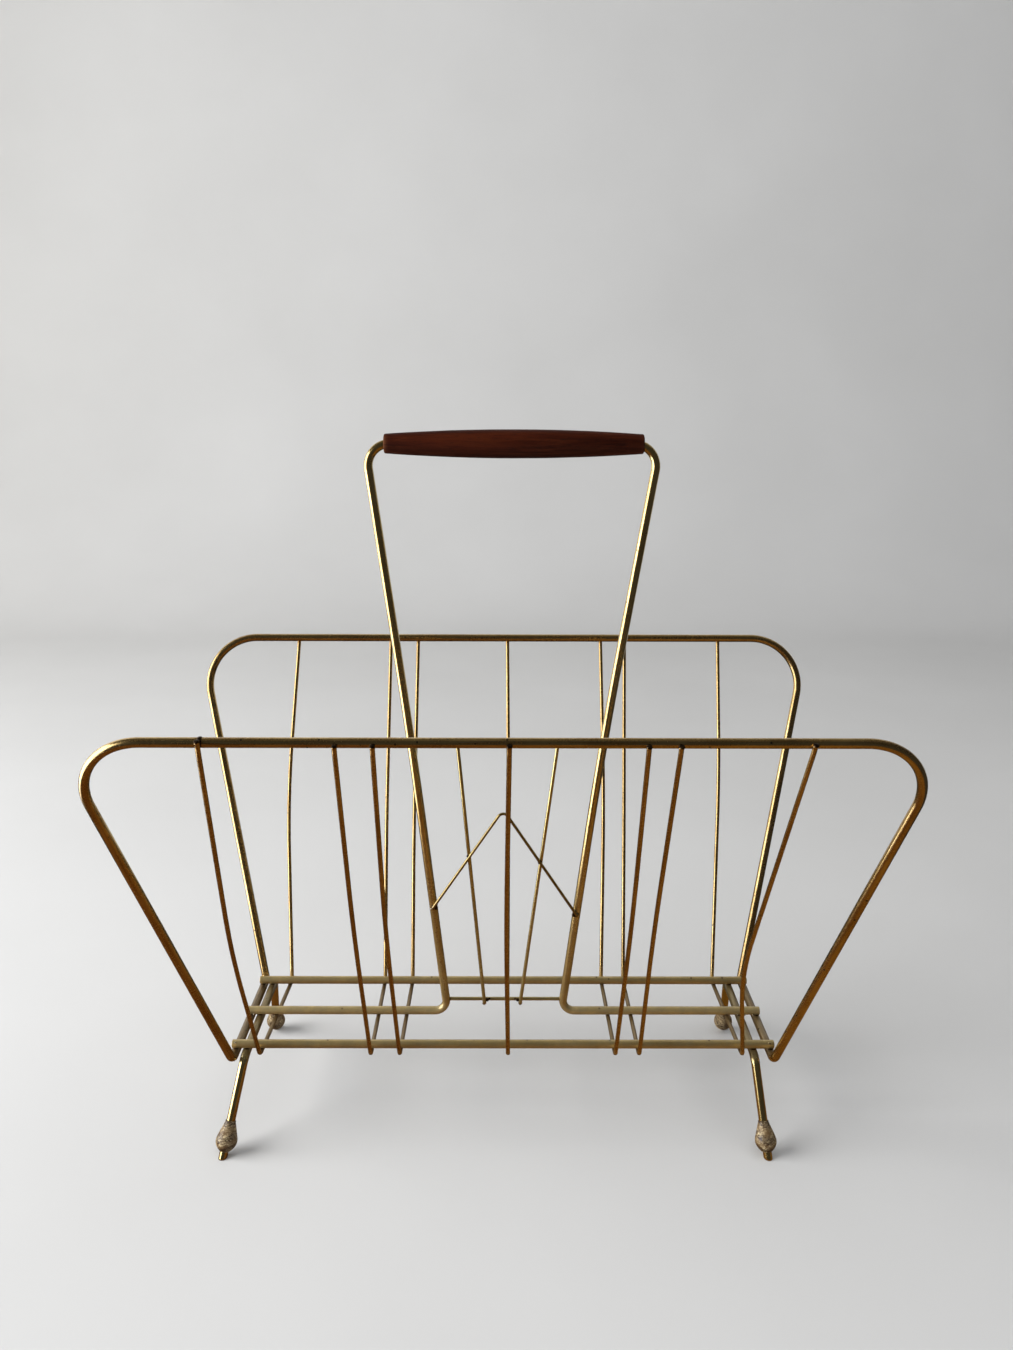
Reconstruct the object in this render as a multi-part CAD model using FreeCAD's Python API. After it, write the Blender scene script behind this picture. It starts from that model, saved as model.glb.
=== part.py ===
import FreeCAD, Part
import math
import os

# Magazine rack of bent and resistance-welded brass rod: two leaning side
# panels joined by string wires that run under a floor of long rails, a tall
# handle that divides the rack in two, and a turned wooden grip that is free to
# spin on the handle.  Millimetres, +Z up, +X along the rack's length, origin
# on the floor below the middle of the bounding box.

V = FreeCAD.Vector
os.makedirs("parts", exist_ok=True)

# ---------------------------------------------------------------- dimensions
rod_d = 5.0            # main rods: hoops, floor rails, legs, handle
wire_d = 2.5           # string wires
divider_d = 2.2        # divider crossbars and uprights
chevron_d = 1.8        # bent chevron wire
weld_sink = 0.15       # how far two crossing rods sink into each other

# floor grid
floor_z = 54.8         # centre height of the long floor rails
floor_rail_y = 35.2    # distance of the outer floor rails from the middle
floor_rail_half = 160.0
rail_end_chamfer = 0.4

# side hoops (front and rear panel share the same shape)
hoop_top_y = 116.2     # centre of the top rail
hoop_top_z = 267.9
hoop_top_x = 207.8     # virtual corner of the top rail and the sloping side
hoop_foot_x = 158.2    # the sides come down to this station
hoop_foot_y = 43.7     # virtual corner at the floor grid
hoop_corner_r = 31.5    # large top corners
hoop_foot_r = 5.5      # tight bend under the floor

# string wires, counted from left to right.  The stations are those of a
# hand-loaded welding jig and of wires that have been pushed about in use, so
# they are close to even but not exactly so.
wire_front_top = [-140.6, -78.0, -60.4, 2.7, 67.1, 82.0, 143.6]
wire_front_mid = [-146.3, -79.2, -62.3, 1.5, 67.6, 79.6, 130.4]
wire_front_mid_z = [134.0, 150.0, 150.0, 150.0, 154.0, 150.0, 120.0]
wire_front_foot = [-142.8, -77.8, -60.8, 2.8, 65.9, 79.9, 140.6]
wire_rear_foot = [-140.4, -78.4, -60.2, 2.8, 64.9, 79.5, 138.6]
wire_rear_mid = [-146.1, -79.2, -60.6, 3.3, 67.8, 81.3, 146.2]
wire_rear_mid_z = [165.0, 150.0, 150.0, 165.0, 165.0, 150.0, 180.0]
wire_rear_top = [-140.6, -77.6, -58.9, 2.4, 66.3, 82.8, 147.0]
wire_foot_y = 40.6     # virtual corner of floor run and arm
wire_foot_r = 4.5
wire_over_front = [3.0, 0.3, 0.3, 0.5, 0.3, 0.3, 1.4]   # end past the weld
wire_over_rear = 0.5

# leg rods: one U per end of the rack, splayed outwards
leg_corner_x = {       # ends of each leg rod's floor run
    "front_left": -151.8,
    "rear_left": -152.2,
    "front_right": 148.0,
    "rear_right": 148.4,
}
leg_bend_y = 40.0      # virtual corner of floor run and leg
leg_bend_r = 7.0
leg_tip = {            # where each leg's axis meets the floor
    "front_left": (-161.5, -64.5),
    "rear_left": (-158.8, 64.5),
    "front_right": (153.0, -64.5),
    "rear_right": (153.4, 64.5),
}

# turned feet: distance up the leg's axis from the floor, and radius there
foot_profile = [(3.6, 2.80), (4.1, 3.30), (5.3, 4.45), (6.9, 5.50), (8.7, 6.08),
                (10.4, 6.06), (12.4, 5.55), (15.1, 4.62), (17.8, 3.68),
                (19.6, 3.05), (20.0, 2.90)]

# handle: a rod that forms the middle floor rail at both ends
handle_foot_l = -34.8  # virtual corners at the floor, left and right
handle_foot_r = 36.3
handle_foot_bend = 7.0
handle_tie_z = 232.0   # height of the upper crossbar, where the legs ease out
handle_tie_l = -53.9
handle_tie_r = 58.0
handle_top_z = 400.2
handle_top_l = -75.7   # virtual top corners
handle_top_r = 84.7
handle_top_bend = 12.0

# wooden grip on the handle's straight top
grip_x0 = -65.1
grip_x1 = 75.7
grip_mid_r = 7.75
grip_end_r = 5.35
grip_edge_r = 0.9
grip_clearance = 0.10  # radial running clearance on the rod
grip_mouth_r = 3.95    # countersunk mouths clear the start of the bends
grip_mouth_len = 9.0

# divider panel between the handle's legs
crossbar_low_z = 62.6
crossbar_high_z = 229.2
upright_low = (-11.75, 10.55)   # x at the lower crossbar
upright_high = (-27.2, 31.9)    # x at the upper crossbar
upright_low_z = 61.3
upright_high_z = 232.9
chevron_foot_x = (-42.7, 44.5)
chevron_foot_z = (126.3, 121.6)
chevron_apex = (-0.2, 190.0)
chevron_apex_r = 3.3

rod_r = rod_d / 2.0
wire_r = wire_d / 2.0
div_r = divider_d / 2.0
chev_r = chevron_d / 2.0


# ------------------------------------------------------------------- helpers
def lerp(a, b, t):
    return a + (b - a) * t


def filleted_path(points, radii):
    """Straight runs joined by tangent arcs; radii[i] belongs to points[i+1]."""
    edges = []
    last = points[0]
    for i in range(1, len(points) - 1):
        p, a, b = points[i], points[i - 1], points[i + 1]
        u = (a - p).normalize()
        w = (b - p).normalize()
        half = u.getAngle(w) / 2.0
        r = radii[i - 1]
        run = r / math.tan(half)
        t0 = p + u * run
        t1 = p + w * run
        bis = (u + w).normalize()
        mid = p + bis * (r / math.sin(half) - r)
        if (t0 - last).Length > 1e-6:
            edges.append(Part.LineSegment(last, t0).toShape())
        edges.append(Part.Arc(t0, mid, t1).toShape())
        last = t1
    edges.append(Part.LineSegment(last, points[-1]).toShape())
    return edges


def gentle_radius(a, p, b):
    """The largest easy arc for a slight bend at p between a and b."""
    u = (a - p)
    w = (b - p)
    turn = math.pi - u.getAngle(w)
    return 0.35 * min(u.Length, w.Length) / math.tan(turn / 2.0)


def rod(points, radii, diameter):
    """Round rod swept along a filleted path, with square-cut ends."""
    edges = filleted_path(points, radii)
    path = Part.Wire(edges)
    start = points[0]
    direction = (points[1] - points[0]).normalize()
    profile = Part.Wire([Part.Circle(start, direction, diameter / 2.0).toShape()])
    solid = path.makePipeShell([profile], True, True)
    if solid.ShapeType != "Solid":
        solid = Part.Solid(solid)
    if solid.Volume < 0:
        solid.reverse()
    length = sum(e.Length for e in edges)
    want = math.pi * (diameter / 2.0) ** 2 * length
    if abs(solid.Volume - want) > 0.01 * want or not solid.isValid():
        raise ValueError("rod sweep is wrong: %g instead of %g" % (solid.Volume, want))
    return solid


def straight_rail(x0, x1, y, z, diameter, chamfer):
    r = diameter / 2.0
    pts = [V(x0, 0, 0), V(x0, 0, r - chamfer), V(x0 + chamfer, 0, r),
           V(x1 - chamfer, 0, r), V(x1, 0, r - chamfer), V(x1, 0, 0), V(x0, 0, 0)]
    face = Part.Face(Part.makePolygon(pts))
    solid = face.revolve(V(0, 0, 0), V(1, 0, 0), 360)
    solid.translate(V(0, y, z))
    return solid


def keep(name, shape):
    solids = shape.Solids
    out = solids[0] if len(solids) == 1 else Part.makeCompound(solids)
    if not out.isValid():
        raise ValueError("invalid shape: " + name)
    out.exportStep("parts/%s.step" % name)
    print("%-24s solids %d  volume %9.1f mm3" % (name, len(solids), shape.Volume))


# ------------------------------------------------------------- side hoops
# Front and rear hoop meet end to end below the middle floor rail.
run_z = floor_z - rod_d + weld_sink


def hoop_points(side):
    y1 = side * hoop_foot_y
    y2 = side * hoop_top_y
    return [V(-hoop_foot_x, 0, run_z), V(-hoop_foot_x, y1, run_z),
            V(-hoop_top_x, y2, hoop_top_z), V(hoop_top_x, y2, hoop_top_z),
            V(hoop_foot_x, y1, run_z), V(hoop_foot_x, 0, run_z)]


hoop_radii = [hoop_foot_r, hoop_corner_r, hoop_corner_r, hoop_foot_r]
for name, side in (("front_hoop", -1), ("rear_hoop", 1)):
    keep(name, rod(hoop_points(side), hoop_radii, rod_d))

# ------------------------------------------------------------- floor rails
keep("front_floor_rail", straight_rail(-floor_rail_half, floor_rail_half,
                                       -floor_rail_y, floor_z, rod_d, rail_end_chamfer))
keep("rear_floor_rail", straight_rail(-floor_rail_half, floor_rail_half,
                                      floor_rail_y, floor_z, rod_d, rail_end_chamfer))

# ------------------------------------------------------------- string wires
# Each wire starts on the outer face of the front top rail, comes down in front
# of the front floor rail, turns under the floor and climbs to the outer face
# of the rear top rail.
wire_run_z = floor_z - rod_r - wire_r + weld_sink
arm_gap = rod_r + wire_r - weld_sink


def arm_direction():
    """Unit vector (outward, up) of an arm that touches the top rail."""
    dy = hoop_top_y - wire_foot_y
    dz = hoop_top_z - wire_run_z
    dist = math.hypot(dy, dz)
    lean = math.atan2(dy, dz) + math.asin(arm_gap / dist)
    return math.sin(lean), math.cos(lean), math.sqrt(dist ** 2 - arm_gap ** 2)


arm_y, arm_z, arm_len = arm_direction()


def arm_point(side, x, along):
    return V(x, side * (wire_foot_y + arm_y * along), wire_run_z + arm_z * along)


def wire_points(i):
    t_front = (wire_front_mid_z[i] - wire_run_z) / arm_z
    t_rear = (wire_rear_mid_z[i] - wire_run_z) / arm_z
    return [arm_point(-1, wire_front_top[i], arm_len + wire_over_front[i]),
            arm_point(-1, wire_front_mid[i], t_front),
            arm_point(-1, wire_front_foot[i], 0.0),
            arm_point(1, wire_rear_foot[i], 0.0),
            arm_point(1, wire_rear_mid[i], t_rear),
            arm_point(1, wire_rear_top[i], arm_len + wire_over_rear)]


for i in range(7):
    p = wire_points(i)
    radii = [gentle_radius(p[0], p[1], p[2]), wire_foot_r, wire_foot_r,
             gentle_radius(p[3], p[4], p[5])]
    keep("string_wire_%d" % (i + 1), rod(p, radii, wire_d))

# ------------------------------------------------------- leg rods and feet
below_floor = Part.makeBox(600, 400, 40, V(-300, -200, -40))


def leg_points(end):
    fx, fy = leg_tip["front_" + end]
    rx, ry = leg_tip["rear_" + end]
    top_f = V(leg_corner_x["front_" + end], -leg_bend_y, run_z)
    top_r = V(leg_corner_x["rear_" + end], leg_bend_y, run_z)
    tip_f = V(fx, fy, 0)
    tip_r = V(rx, ry, 0)
    down_f = (tip_f - top_f).normalize()
    down_r = (tip_r - top_r).normalize()
    return tip_f + down_f * 3.0, top_f, top_r, tip_r + down_r * 3.0


for end in ("left", "right"):
    pts = leg_points(end)
    leg = rod(list(pts), [leg_bend_r, leg_bend_r], rod_d).cut(below_floor)
    keep("leg_rod_" + end, leg)


def foot_bead(corner):
    sy = -1 if corner.startswith("front") else 1
    tip = V(leg_tip[corner][0], leg_tip[corner][1], 0)
    top = V(leg_corner_x[corner], sy * leg_bend_y, run_z)
    axis = (top - tip).normalize()
    outer = Part.BSplineCurve()
    outer.interpolate([V(r, 0, s) for s, r in foot_profile])
    s0, r0 = foot_profile[0]
    s1, r1 = foot_profile[-1]
    wire = Part.Wire([outer.toShape(),
                      Part.LineSegment(V(r1, 0, s1), V(rod_r, 0, s1)).toShape(),
                      Part.LineSegment(V(rod_r, 0, s1), V(rod_r, 0, s0)).toShape(),
                      Part.LineSegment(V(rod_r, 0, s0), V(r0, 0, s0)).toShape()])
    bead = Part.Face(wire).revolve(V(0, 0, 0), V(0, 0, 1), 360)
    bead.Placement = FreeCAD.Placement(tip, FreeCAD.Rotation(V(0, 0, 1), axis))
    return bead


for corner in ("front_left", "front_right", "rear_left", "rear_right"):
    keep("foot_" + corner, foot_bead(corner))

# ------------------------------------------------------------------ handle
handle_points = [V(-floor_rail_half, 0, floor_z), V(handle_foot_l, 0, floor_z),
                 V(handle_tie_l, 0, handle_tie_z), V(handle_top_l, 0, handle_top_z),
                 V(handle_top_r, 0, handle_top_z), V(handle_tie_r, 0, handle_tie_z),
                 V(handle_foot_r, 0, floor_z), V(floor_rail_half, 0, floor_z)]
handle_radii = [handle_foot_bend,
                gentle_radius(*handle_points[1:4]),
                handle_top_bend, handle_top_bend,
                gentle_radius(*handle_points[4:7]),
                handle_foot_bend]
handle = rod(handle_points, handle_radii, rod_d)
keep("handle_rod", handle)

# -------------------------------------------------------------------- grip
grip_len = grip_x1 - grip_x0
bore_r = rod_r + grip_clearance


def grip_solid():
    e = grip_edge_r
    L = grip_len
    outer = Part.Arc(V(e, 0, grip_end_r), V(L / 2.0, 0, grip_mid_r), V(L - e, 0, grip_end_r))
    k = 1.0 - math.sqrt(0.5)
    edges = [
        Part.LineSegment(V(0, 0, grip_mouth_r), V(0, 0, grip_end_r - e)).toShape(),
        Part.Arc(V(0, 0, grip_end_r - e), V(e * k, 0, grip_end_r - e * k), V(e, 0, grip_end_r)).toShape(),
        outer.toShape(),
        Part.Arc(V(L - e, 0, grip_end_r), V(L - e * k, 0, grip_end_r - e * k), V(L, 0, grip_end_r - e)).toShape(),
        Part.LineSegment(V(L, 0, grip_end_r - e), V(L, 0, grip_mouth_r)).toShape(),
        Part.LineSegment(V(L, 0, grip_mouth_r), V(L - grip_mouth_len, 0, bore_r)).toShape(),
        Part.LineSegment(V(L - grip_mouth_len, 0, bore_r), V(grip_mouth_len, 0, bore_r)).toShape(),
        Part.LineSegment(V(grip_mouth_len, 0, bore_r), V(0, 0, grip_mouth_r)).toShape(),
    ]
    solid = Part.Face(Part.Wire(edges)).revolve(V(0, 0, 0), V(1, 0, 0), 360)
    solid.translate(V(grip_x0, 0, handle_top_z))
    return solid


keep("grip", grip_solid())

# ----------------------------------------------------------------- divider
# The chevron lies across the front of the handle's legs and of the two
# uprights.  The uprights stand against its rear, the crossbars against theirs,
# and the crossbars' ends are coped to the legs and butt-welded between them.
chev_y = -(rod_r + chev_r - weld_sink)
upright_y = chev_y + chev_r + div_r - weld_sink
bar_y = upright_y + 2 * div_r - weld_sink


def handle_leg_x(side, z):
    foot = handle_foot_l if side < 0 else handle_foot_r
    tie = handle_tie_l if side < 0 else handle_tie_r
    return lerp(foot, tie, (z - floor_z) / (handle_tie_z - floor_z))


for name, z in (("divider_crossbar_lower", crossbar_low_z), ("divider_crossbar_upper", crossbar_high_z)):
    x0 = handle_leg_x(-1, z)
    x1 = handle_leg_x(1, z)
    bar = Part.makeCylinder(div_r, x1 - x0, V(x0, bar_y, z), V(1, 0, 0)).cut(handle)
    keep(name, max(bar.Solids, key=lambda piece: piece.Volume))

for name, k in (("divider_upright_left", 0), ("divider_upright_right", 1)):
    lo = V(upright_low[k], upright_y, upright_low_z)
    hi = V(upright_high[k], upright_y, upright_high_z)
    axis = hi - lo
    keep(name, Part.makeCylinder(div_r, axis.Length, lo, axis))

keep("divider_chevron", rod([V(chevron_foot_x[0], chev_y, chevron_foot_z[0]),
                             V(chevron_apex[0], chev_y, chevron_apex[1]),
                             V(chevron_foot_x[1], chev_y, chevron_foot_z[1])],
                            [chevron_apex_r], chevron_d))
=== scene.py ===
import math
import random

import bpy
import numpy as np
from mathutils import Matrix, Vector, noise


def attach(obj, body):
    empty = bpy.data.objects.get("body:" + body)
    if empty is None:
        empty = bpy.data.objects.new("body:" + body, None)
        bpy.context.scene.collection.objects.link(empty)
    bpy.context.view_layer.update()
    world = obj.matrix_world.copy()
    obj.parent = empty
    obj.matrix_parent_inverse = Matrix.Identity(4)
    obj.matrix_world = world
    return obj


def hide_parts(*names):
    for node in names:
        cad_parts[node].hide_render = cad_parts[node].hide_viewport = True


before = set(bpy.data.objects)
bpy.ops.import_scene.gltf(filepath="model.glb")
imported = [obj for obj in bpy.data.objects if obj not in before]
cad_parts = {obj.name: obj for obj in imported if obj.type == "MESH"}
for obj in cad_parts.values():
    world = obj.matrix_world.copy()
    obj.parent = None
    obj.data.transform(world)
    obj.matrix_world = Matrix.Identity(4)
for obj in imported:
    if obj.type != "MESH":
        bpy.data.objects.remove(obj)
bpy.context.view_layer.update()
random.seed(11)
MM = 0.001
scene = bpy.context.scene

# =====================================================================
# Sizes of the rods, in millimetres, in the frame of the CAD
# =====================================================================
ROD, WIRE, DIV, CHEV = 2.5, 1.25, 1.1, 0.9          # radii
SINK = 0.15
FLOOR_Z, RAIL_Y, RAIL_X = 54.8, 35.2, 160.0
TOP_Y, TOP_Z, TOP_X = 116.2, 267.9, 207.8
FOOT_X, FOOT_Y = 158.2, 43.7
RUN_Z = FLOOR_Z - 2 * ROD + SINK
WIRE_Z = FLOOR_Z - ROD - WIRE + SINK
WIRE_Y = 40.6
GAP = ROD + WIRE - SINK
WFT = [-140.6, -78.0, -60.4, 2.7, 67.1, 82.0, 143.6]
WFM = [-146.3, -79.2, -62.3, 1.5, 67.6, 79.6, 130.4]
WFMZ = [134.0, 150.0, 150.0, 150.0, 154.0, 150.0, 120.0]
WFF = [-142.8, -77.8, -60.8, 2.8, 65.9, 79.9, 140.6]
WRF = [-140.4, -78.4, -60.2, 2.8, 64.9, 79.5, 138.6]
WRM = [-146.1, -79.2, -60.6, 3.3, 67.8, 81.3, 146.2]
WRMZ = [165.0, 150.0, 150.0, 165.0, 165.0, 150.0, 180.0]
WRT = [-140.6, -77.6, -58.9, 2.4, 66.3, 82.8, 147.0]
OVER = [3.0, 0.3, 0.3, 0.5, 0.3, 0.3, 1.4]
LEG_X = {"front_left": -151.8, "rear_left": -152.2, "front_right": 148.0, "rear_right": 148.4}
LEG_TIP = {"front_left": (-161.5, -64.5), "rear_left": (-158.8, 64.5),
           "front_right": (153.0, -64.5), "rear_right": (153.4, 64.5)}
HANDLE = [(-RAIL_X, 0, FLOOR_Z), (-34.8, 0, FLOOR_Z), (-53.9, 0, 232.0), (-75.7, 0, 400.2),
          (84.7, 0, 400.2), (58.0, 0, 232.0), (36.3, 0, FLOOR_Z), (RAIL_X, 0, FLOOR_Z)]
CHEV_Y = -(ROD + CHEV - SINK)
UP_Y = CHEV_Y + CHEV + DIV - SINK
BAR_Y = UP_Y + 2 * DIV - SINK
UP_LOW, UP_HIGH = (-11.75, 10.55), (-27.2, 31.9)
UP_LOW_Z, UP_HIGH_Z = 61.3, 232.9
BAR_Z = (62.6, 229.2)
CHEV_PTS = [(-42.7, CHEV_Y, 126.3), (-0.2, CHEV_Y, 190.0), (44.5, CHEV_Y, 121.6)]


def vec(p):
    return np.array(p, float)


def unit(v):
    return v / np.linalg.norm(v)


def gentle(a, p, b):
    u, w = vec(a) - vec(p), vec(b) - vec(p)
    turn = math.pi - math.acos(np.clip(unit(u) @ unit(w), -1, 1))
    return 0.35 * min(np.linalg.norm(u), np.linalg.norm(w)) / math.tan(turn / 2)


# =====================================================================
# Rod geometry: a centre line of runs and tangent bends, then a tube
# =====================================================================
def centre_line(points, radii, step):
    """Points, sharpness of bend (0 to 1) and inward direction along the rod."""
    pts = [vec(p) for p in points]
    out, bend, inward = [], [], []

    def run(a, b, last):
        n = max(1, int(round(np.linalg.norm(b - a) / step)))
        for i in range(0, n + (1 if last else 0)):
            out.append(a + (b - a) * i / n)
            bend.append(0.0)
            inward.append(np.zeros(3))

    here = pts[0]
    for i in range(1, len(pts) - 1):
        u, w = unit(pts[i - 1] - pts[i]), unit(pts[i + 1] - pts[i])
        half = math.acos(np.clip(u @ w, -1, 1)) / 2
        r = radii[i - 1]
        t0, t1 = pts[i] + u * r / math.tan(half), pts[i] + w * r / math.tan(half)
        c = pts[i] + unit(u + w) * r / math.sin(half)
        run(here, t0, False)
        turn = math.pi - 2 * half
        n = max(3, int(math.ceil(max(turn / math.radians(5), turn * r / step))))
        if r > 200:
            n = max(6, int(turn * r / step))
        e0, e1 = unit(t0 - c), unit(t1 - c)
        for k in range(n):
            f = k / n
            d = (math.sin((1 - f) * turn) * e0 + math.sin(f * turn) * e1) / math.sin(turn)
            out.append(c + d * r)
            bend.append(min(1.0, 6.0 / r) * math.sin(math.pi * min(1, max(0, f))) ** 0.5)
            inward.append(-d)
        here = t1
    run(here, pts[-1], True)
    return np.array(out), np.array(bend), np.array(inward)


WELDS = []      # (contact point, reach in mm) of every weld, for the heat tint


def weld_heat_and_shade_of(co):
    """0 to 1: how near each point (mm) is to a weld; the cross runs below the floor rails also get a painted shade
    through it.
    """
    t = np.zeros(len(co))
    for c, reach in WELDS:
        d2 = ((co - c) ** 2).sum(1)
        t = np.maximum(t, np.exp(-d2 / reach ** 2))
    # the cross runs below the floor rails are browner: a painted shade below the rails
    shade_under_rails = np.clip((FLOOR_Z - 1.6 - co[:, 2]) / 1.5, 0, 1) * np.clip((co[:, 2] - 44.0) / 2.5, 0, 1)
    shade_under_rails = shade_under_rails * np.clip((46.0 - np.abs(co[:, 1])) / 5.0, 0, 1)
    return np.maximum(t, 0.42 * shade_under_rails)


def tube(name, points, radii, r, n=28, step=2.0, ends=("saw", "saw"), press=(), seed=0):
    """A drawn rod: round with a trace of ovality in its bends and of thickness along it.
    press: (point, direction, reach, depth) squeezes the rod at a weld."""
    P, bend, inward = centre_line(points, radii, step)
    N = len(P)
    T = np.zeros_like(P)
    T[1:-1] = P[2:] - P[:-2]
    T[0], T[-1] = P[1] - P[0], P[-1] - P[-2]
    T /= np.linalg.norm(T, axis=1)[:, None]
    ref = vec((0, 0, 1)) if abs(T[0][2]) < 0.9 else vec((0, 1, 0))
    X = np.zeros_like(P)
    X[0] = unit(ref - T[0] * (ref @ T[0]))
    for i in range(1, N):
        x = X[i - 1] - T[i] * (X[i - 1] @ T[i])
        X[i] = unit(x)
    Y = np.cross(T, X)
    S = np.concatenate([[0], np.cumsum(np.linalg.norm(P[1:] - P[:-1], axis=1))])
    ang = np.arange(n) / n * 2 * math.pi
    rings, marks = [], []       # world mm, and straightened coordinates mm
    cut = []

    def ring(c, x, y, rad, s, b, inn, is_cut, wob):
        dirs = np.cos(ang)[:, None] * x + np.sin(ang)[:, None] * y
        k = np.full(n, rad)
        if b > 0 and np.any(inn):
            along = dirs @ inn
            k = k * (1 - 0.055 * b * along ** 2 + 0.028 * b * (1 - along ** 2))
        k = k * (1 + wob)
        co = c + dirs * k[:, None]
        for pc, pd, reach, depth in press:
            d = ((co - vec(pc)) ** 2).sum(1)
            co = co - np.outer(np.exp(-d / reach ** 2) * depth, vec(pd))
        rings.append(co)
        marks.append(np.stack([np.cos(ang) * rad, np.sin(ang) * rad, np.full(n, s)], 1))
        cut.append(np.full(n, float(is_cut)))

    def wobble(s):
        return 0.0035 * noise.noise(Vector((s * 0.09, seed * 3.7, 1.3))) + 0.002 * noise.noise(Vector((s * 0.6, seed * 1.9, 5.1)))

    def end_rings(style, at_start):
        i = 0 if at_start else N - 1
        sgn = -1 if at_start else 1
        c, x, y, t, s = P[i], X[i], Y[i], T[i] * sgn, S[i]
        seq = []
        if style == "saw":          # square cut, a small broken edge and a faint burr
            seq = [(-0.45, 1.0, 0), (-0.28, 1.006, 0), (-0.08, 0.955, 1), (0.0, 0.88, 1), (0.0, 0.55, 1), (-0.02, 0.25, 1)]
        elif style == "nub":        # melted, rounded end of a welded wire
            seq = [(-1.3, 1.0, 0), (-0.9, 1.05, 0), (-0.4, 1.07, 0), (0.1, 0.98, 0), (0.45, 0.76, 0), (0.68, 0.42, 0)]
        elif style == "shear":      # cropped: one edge drawn over
            seq = [(-0.8, 1.0, 0), (-0.35, 0.985, 0), (-0.1, 0.9, 1), (0.0, 0.72, 1), (0.03, 0.35, 1)]
        elif style == "floor":      # cut flat where the leg meets the ground
            seq = [("z", 0.9, 1.0, 0), ("z", 0.35, 1.0, 0), ("z", 0.12, 0.955, 1), ("z", 0.0, 0.88, 1), ("z", 0.0, 0.5, 1)]
        elif style == "bare":
            seq = [(0.0, 1.0, 0)]
        made = []
        for q in seq:
            if q[0] == "z":
                dirs = np.cos(ang)[:, None] * x + np.sin(ang)[:, None] * y
                co = c + dirs * r * q[2]
                co = co + np.outer((q[1] - co[:, 2]) / t[2], t)
                made.append((co, np.stack([np.cos(ang) * r, np.sin(ang) * r, np.full(n, s)], 1), np.full(n, float(q[3]))))
            else:
                off, k, is_cut = q
                before = len(rings)
                ring(c + t * off, x, y, r * k, s + sgn * off, 0, inward[i], is_cut, 0)
                made.append((rings.pop(), marks.pop(), cut.pop()))
                assert len(rings) == before
        tip = c + t * (seq[-1][0] if seq[-1][0] != "z" else 0)
        if style == "floor":
            tip = c + t * ((0.0 - c[2]) / t[2])
        elif style == "nub":
            tip = c + t * 0.76
        return made, tip, (marks_tip(s), float(seq[-1][-1]))

    def marks_tip(s):
        return np.array([0, 0, s])

    head, head_tip, head_mark = end_rings(ends[0], True)
    tail, tail_tip, tail_mark = end_rings(ends[1], False)
    for m in reversed(head):
        rings.append(m[0]); marks.append(m[1]); cut.append(m[2])
    skip0 = 1 if ends[0] != "bare" else 1
    for i in range(1, N - 1):
        if S[i] < 1.4 and ends[0] != "floor":
            continue
        if S[-1] - S[i] < 1.4 and ends[1] != "floor":
            continue
        if ends[0] == "floor" and P[i][2] < 1.9:
            continue
        if ends[1] == "floor" and P[i][2] < 1.9:
            continue
        ring(P[i], X[i], Y[i], r, S[i], bend[i], inward[i], 0, wobble(S[i]))
    for m in tail:
        rings.append(m[0]); marks.append(m[1]); cut.append(m[2])
    R = len(rings)
    co = np.concatenate(rings + [head_tip[None], tail_tip[None]])
    mk = np.concatenate(marks + [head_mark[0][None], tail_mark[0][None]])
    ct = np.concatenate(cut + [[head_mark[1]], [tail_mark[1]]])
    faces = []
    for i in range(R - 1):
        for j in range(n):
            a, b = i * n + j, i * n + (j + 1) % n
            faces.append((a, b, b + n, a + n))
    h, t = R * n, R * n + 1
    for j in range(n):
        faces.append((h, (j + 1) % n, j))
        faces.append((t, (R - 1) * n + j, (R - 1) * n + (j + 1) % n))
    return build(name, co, faces, rod=mk, cut=ct)


def build(name, co, faces, **attrs):
    me = bpy.data.meshes.new(name)
    me.from_pydata((co * MM).tolist(), [], faces)
    me.validate()
    me.update()
    for key, values in attrs.items():
        values = np.asarray(values, float)
        if values.ndim == 2:
            a = me.attributes.new(key, "FLOAT_VECTOR", "POINT")
            a.data.foreach_set("vector", values.astype(np.float32).ravel())
        else:
            a = me.attributes.new(key, "FLOAT", "POINT")
            a.data.foreach_set("value", values.astype(np.float32))
    heat = weld_heat_and_shade_of(co)
    a = me.attributes.new("heat", "FLOAT", "POINT")
    a.data.foreach_set("value", heat.astype(np.float32))
    me.polygons.foreach_set("use_smooth", [True] * len(me.polygons))
    o = bpy.data.objects.new(name, me)
    scene.collection.objects.link(o)
    return o


# =====================================================================
# Where rods are welded
# =====================================================================
def arm_direction():
    dy, dz = TOP_Y - WIRE_Y, TOP_Z - WIRE_Z
    dist = math.hypot(dy, dz)
    lean = math.atan2(dy, dz) + math.asin(GAP / dist)
    return math.sin(lean), math.cos(lean), math.sqrt(dist ** 2 - GAP ** 2)


AY, AZ, ALEN = arm_direction()


def arm(side, x, along):
    return (x, side * (WIRE_Y + AY * along), WIRE_Z + AZ * along)


def wire_route(i):
    tf, tr = (WFMZ[i] - WIRE_Z) / AZ, (WRMZ[i] - WIRE_Z) / AZ
    return [arm(-1, WFT[i], ALEN + OVER[i]), arm(-1, WFM[i], tf), arm(-1, WFF[i], 0),
            arm(1, WRF[i], 0), arm(1, WRM[i], tr), arm(1, WRT[i], ALEN + 0.5)]


def lerp(a, b, t):
    return a + (b - a) * t


def leg_x(side, z):
    foot, tie = (-34.8, -53.9) if side < 0 else (36.3, 58.0)
    return lerp(foot, tie, (z - FLOOR_Z) / (232.0 - FLOOR_Z))


beads = {"floor": [], "front_rail": [], "rear_rail": [], "divider": []}
CZ = FLOOR_Z - ROD + SINK / 2          # height of the welds under the rails


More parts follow.
